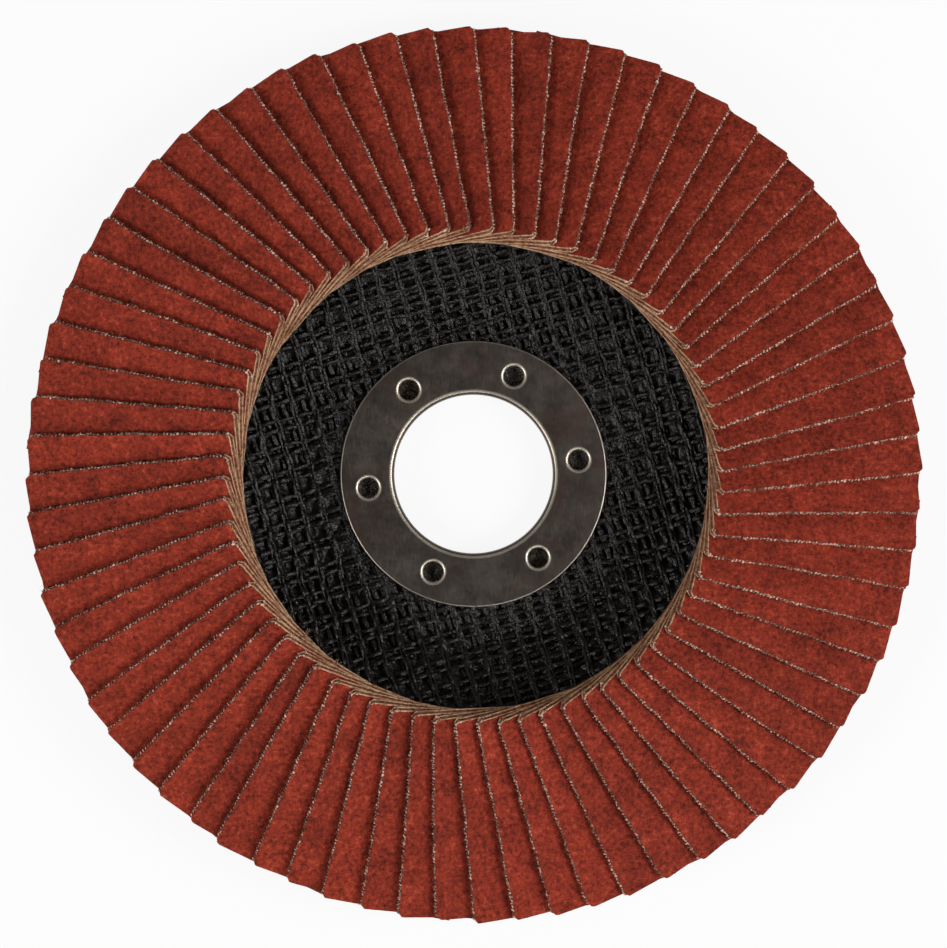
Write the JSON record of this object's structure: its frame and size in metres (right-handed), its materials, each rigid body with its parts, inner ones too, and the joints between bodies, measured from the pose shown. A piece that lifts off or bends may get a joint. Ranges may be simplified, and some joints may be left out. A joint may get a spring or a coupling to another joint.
{
  "type": "flap disc",
  "caption": "Round flap disc for an angle grinder: overlapping abrasive cloth flaps on a dished woven backing plate with a pressed steel ring round the bore.",
  "frame": {"origin": "centre of the bore, at the hub's flat back face", "axes": "+Z along the bore axis, from the back face towards the abrasive side; the picture shows the disc from +Z, with +X to the right and +Y up"},
  "size_m": [0.125, 0.125, 0.0149],
  "materials": {
    "abrasive_cloth": "coarse brown abrasive grain bonded on tan cloth",
    "woven_laminate": "dark resin over woven glass threads, glossy on the threads",
    "pressed_steel": "plain pressed steel with a straight brushed grain",
    "cured_resin": "dark brown cured resin"
  },
  "bodies": {
    "root": {"backing_plate": "woven_laminate", "centre_ring": "pressed_steel", "adhesive_bed": "cured_resin", "flap_pair_01": "abrasive_cloth", "flap_pair_02": "abrasive_cloth", "flap_pair_03": "abrasive_cloth", "flap_pair_04": "abrasive_cloth", "flap_pair_05": "abrasive_cloth", "flap_pair_06": "abrasive_cloth", "flap_pair_07": "abrasive_cloth", "flap_pair_08": "abrasive_cloth", "flap_pair_09": "abrasive_cloth", "flap_pair_10": "abrasive_cloth", "flap_pair_11": "abrasive_cloth", "flap_pair_12": "abrasive_cloth", "flap_pair_13": "abrasive_cloth", "flap_pair_14": "abrasive_cloth", "flap_pair_15": "abrasive_cloth", "flap_pair_16": "abrasive_cloth", "flap_pair_17": "abrasive_cloth", "flap_pair_18": "abrasive_cloth", "flap_pair_19": "abrasive_cloth", "flap_pair_20": "abrasive_cloth", "flap_pair_21": "abrasive_cloth", "flap_pair_22": "abrasive_cloth", "flap_pair_23": "abrasive_cloth", "flap_pair_24": "abrasive_cloth", "flap_pair_25": "abrasive_cloth", "flap_pair_26": "abrasive_cloth", "flap_pair_27": "abrasive_cloth", "flap_pair_28": "abrasive_cloth", "flap_pair_29": "abrasive_cloth", "flap_pair_30": "abrasive_cloth", "flap_pair_31": "abrasive_cloth", "flap_pair_32": "abrasive_cloth", "flap_pair_33": "abrasive_cloth", "flap_pair_34": "abrasive_cloth", "flap_pair_35": "abrasive_cloth", "flap_pair_36": "abrasive_cloth"}
  },
  "joints": []
}
